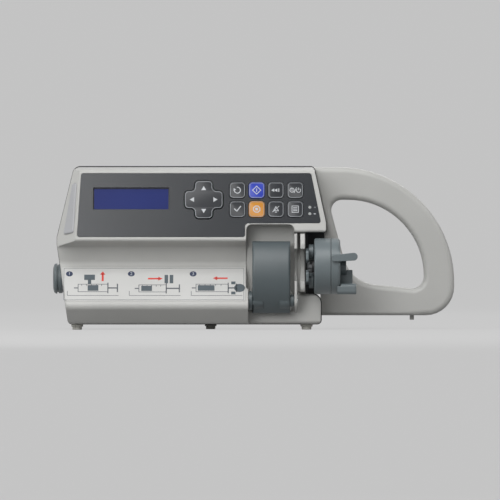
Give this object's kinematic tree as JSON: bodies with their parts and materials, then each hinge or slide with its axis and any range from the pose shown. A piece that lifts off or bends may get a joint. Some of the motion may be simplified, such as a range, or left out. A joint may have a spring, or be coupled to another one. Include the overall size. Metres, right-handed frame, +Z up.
{
  "type": "syringe pump",
  "caption": "Bench and pole-mounted syringe pump with a sloped control panel, a cradle with a swinging barrel clamp, a screw-driven plunger driver and a loop carry handle.",
  "frame": {"origin": "middle of the footprint's bounding box, on the surface the feet stand on", "axes": "+X along the syringe from its tip towards the plunger, +Y away from the control panel, +Z up"},
  "size_m": [0.34, 0.1442, 0.1379],
  "materials": {
    "case_plastic": "satin moulded",
    "handle_plastic": "satin moulded",
    "gasket": "matt",
    "overlay": "fine satin film",
    "window": "clear gloss",
    "board": "lacquered",
    "battery": "sleeve",
    "black_plastic": "matt",
    "lens": "frosted",
    "label": "laminated film",
    "foot_rubber": "matt",
    "steel": "ground",
    "chassis": "bare sheet",
    "motor": "satin",
    "belt": "matt",
    "driver_plastic": "satin moulded",
    "clamp_plastic": "satin moulded",
    "bronze": "machined",
    "key_dark": "satin",
    "key_blue": "satin",
    "key_orange": "satin",
    "clamp_metal": "cast, painted"
  },
  "bodies": {
    "case": {"front_shell": "case_plastic", "rear_shell": "case_plastic", "case_gasket": "gasket", "carry_handle": "handle_plastic", "handle_peg": "handle_plastic", "panel_overlay": "overlay", "lcd_window": "window", "lcd_module": "board", "keypad_board": "board", "main_board": "board", "power_board": "board", "battery_pack": "battery", "battery_cover": "case_plastic", "speaker": "black_plastic", "power_inlet": "black_plastic", "data_port": "black_plastic", "alarm_lens": "lens", "status_lamps": "lens", "loading_label": "label", "rubber_feet": "foot_rubber", "case_screws": "steel", "drive_chassis": "chassis", "screw_bearings": "steel", "guide_rod": "steel", "side_shield": "black_plastic", "stepper_motor": "motor", "drive_belt": "belt", "flange_plate": "driver_plastic", "clamp_hinge_pin": "steel", "clamp_spring": "steel", "pole_clamp_body": "clamp_metal", "pole_clamp_screws": "steel"},
    "driver": {"carriage": "chassis", "drive_tube": "steel", "driver_housing": "driver_plastic"},
    "clutch": {"driver_cap": "driver_plastic", "clutch_lever": "driver_plastic"},
    "release_shaft": {"release_shaft": "steel"},
    "half_nut": {"half_nut": "bronze"},
    "upper_claw": {"upper_claw": "driver_plastic"},
    "lower_claw": {"lower_claw": "driver_plastic"},
    "plunger_button": {"plunger_button": "black_plastic"},
    "lead_screw": {"lead_screw": "steel", "screw_pulley": "chassis"},
    "motor_rotor": {"motor_pulley": "chassis"},
    "barrel_clamp": {"barrel_clamp": "clamp_plastic", "clamp_liner": "belt"},
    "arrow_pivot": {"arrow_pivot": "black_plastic"},
    "arrow_pad": {"arrow_pad": "key_dark"},
    "pole_pad": {"pole_pad": "black_plastic"},
    "clamp_knob": {"clamp_knob": "clamp_plastic", "clamp_spindle": "steel"},
    "key_back": {"key_back": "key_dark"},
    "key_start": {"key_start": "key_blue"},
    "key_fast": {"key_fast": "key_dark"},
    "key_power": {"key_power": "key_dark"},
    "key_ok": {"key_ok": "key_dark"},
    "key_stop": {"key_stop": "key_orange"},
    "key_mute": {"key_mute": "key_dark"},
    "key_menu": {"key_menu": "key_dark"}
  },
  "joints": [
    {"name": "drive_slide", "type": "slide", "parent": "case", "child": "driver", "axis": [1, 0, 0], "range_m": [0, 0.105]},
    {"name": "clutch_turn", "type": "hinge", "parent": "driver", "child": "clutch", "pos_m": [0.07, -0.046, 0.0533], "axis": [1, 0, 0], "range_deg": [0, 40], "stiffness_Nm_per_rad": 0.3, "springref_deg": -11.46},
    {"name": "release_turn", "type": "hinge", "parent": "driver", "child": "release_shaft", "pos_m": [0, -0.012, 0.0533], "axis": [1, 0, 0], "range_deg": [0, 40]},
    {"name": "half_nut_drop", "type": "slide", "parent": "driver", "child": "half_nut", "axis": [0, 0, -1], "range_m": [0, 0.003]},
    {"name": "upper_claw_turn", "type": "hinge", "parent": "driver", "child": "upper_claw", "pos_m": [0.0512, -0.037, 0.0653], "axis": [1, 0, 0], "range_deg": [-25, 0]},
    {"name": "lower_claw_turn", "type": "hinge", "parent": "driver", "child": "lower_claw", "pos_m": [0.0512, -0.037, 0.0413], "axis": [1, 0, 0], "range_deg": [0, 25]},
    {"name": "plunger_button_press", "type": "slide", "parent": "driver", "child": "plunger_button", "axis": [1, 0, 0], "range_m": [0, 0.001], "stiffness_N_per_m": 3000},
    {"name": "lead_screw_spin", "type": "hinge", "parent": "case", "child": "lead_screw", "pos_m": [0, 0.004, 0.0533], "axis": [1, 0, 0], "continuous": true},
    {"name": "motor_spin", "type": "hinge", "parent": "case", "child": "motor_rotor", "pos_m": [0, 0.004, 0.0883], "axis": [1, 0, 0], "continuous": true},
    {"name": "barrel_clamp_swing", "type": "hinge", "parent": "case", "child": "barrel_clamp", "pos_m": [0.015, -0.046, 0.0244], "axis": [1, 0, 0], "range_deg": [0, 95], "stiffness_Nm_per_rad": 0.15, "springref_deg": -22.92},
    {"name": "arrow_tilt_up_down", "type": "hinge", "parent": "case", "child": "arrow_pivot", "pos_m": [-0.0416, -0.03841, 0.10823], "axis": [1, 0, 0], "range_deg": [-2.5, 2.5], "stiffness_Nm_per_rad": 0.4},
    {"name": "arrow_tilt_left_right", "type": "hinge", "parent": "arrow_pivot", "child": "arrow_pad", "pos_m": [-0.0416, -0.03841, 0.10823], "axis": [0, 0.2062, 0.9785], "range_deg": [-2.5, 2.5], "stiffness_Nm_per_rad": 0.4},
    {"name": "pole_pad_slide", "type": "slide", "parent": "case", "child": "pole_pad", "axis": [1, 0, 0], "range_m": [0, 0.015]},
    {"name": "clamp_knob_turn", "type": "hinge", "parent": "pole_pad", "child": "clamp_knob", "pos_m": [-0.16, 0.055, 0.0428], "axis": [1, 0, 0], "continuous": true},
    {"name": "key_back_press", "type": "slide", "parent": "case", "child": "key_back", "axis": [0, 0.9785, -0.2062], "range_m": [0, 0.0006], "stiffness_N_per_m": 1500},
    {"name": "key_start_press", "type": "slide", "parent": "case", "child": "key_start", "axis": [0, 0.9785, -0.2062], "range_m": [0, 0.0006], "stiffness_N_per_m": 1500},
    {"name": "key_fast_press", "type": "slide", "parent": "case", "child": "key_fast", "axis": [0, 0.9785, -0.2062], "range_m": [0, 0.0006], "stiffness_N_per_m": 1500},
    {"name": "key_power_press", "type": "slide", "parent": "case", "child": "key_power", "axis": [0, 0.9785, -0.2062], "range_m": [0, 0.0006], "stiffness_N_per_m": 1500},
    {"name": "key_ok_press", "type": "slide", "parent": "case", "child": "key_ok", "axis": [0, 0.9785, -0.2062], "range_m": [0, 0.0006], "stiffness_N_per_m": 1500},
    {"name": "key_stop_press", "type": "slide", "parent": "case", "child": "key_stop", "axis": [0, 0.9785, -0.2062], "range_m": [0, 0.0006], "stiffness_N_per_m": 1500},
    {"name": "key_mute_press", "type": "slide", "parent": "case", "child": "key_mute", "axis": [0, 0.9785, -0.2062], "range_m": [0, 0.0006], "stiffness_N_per_m": 1500},
    {"name": "key_menu_press", "type": "slide", "parent": "case", "child": "key_menu", "axis": [0, 0.9785, -0.2062], "range_m": [0, 0.0006], "stiffness_N_per_m": 1500}
  ],
  "couplings": [
    {"joint": "release_turn", "follows": "clutch_turn", "ratio": 1},
    {"joint": "half_nut_drop", "follows": "clutch_turn", "m_per_rad": 0.0042972},
    {"joint": "upper_claw_turn", "follows": "clutch_turn", "ratio": -0.625},
    {"joint": "lower_claw_turn", "follows": "clutch_turn", "ratio": 0.625},
    {"joint": "lead_screw_spin", "follows": "drive_slide", "rad_per_m": 1570.8},
    {"joint": "motor_spin", "follows": "drive_slide", "rad_per_m": 1570.8},
    {"joint": "clamp_knob_turn", "follows": "pole_pad_slide", "rad_per_m": 2094.4}
  ]
}
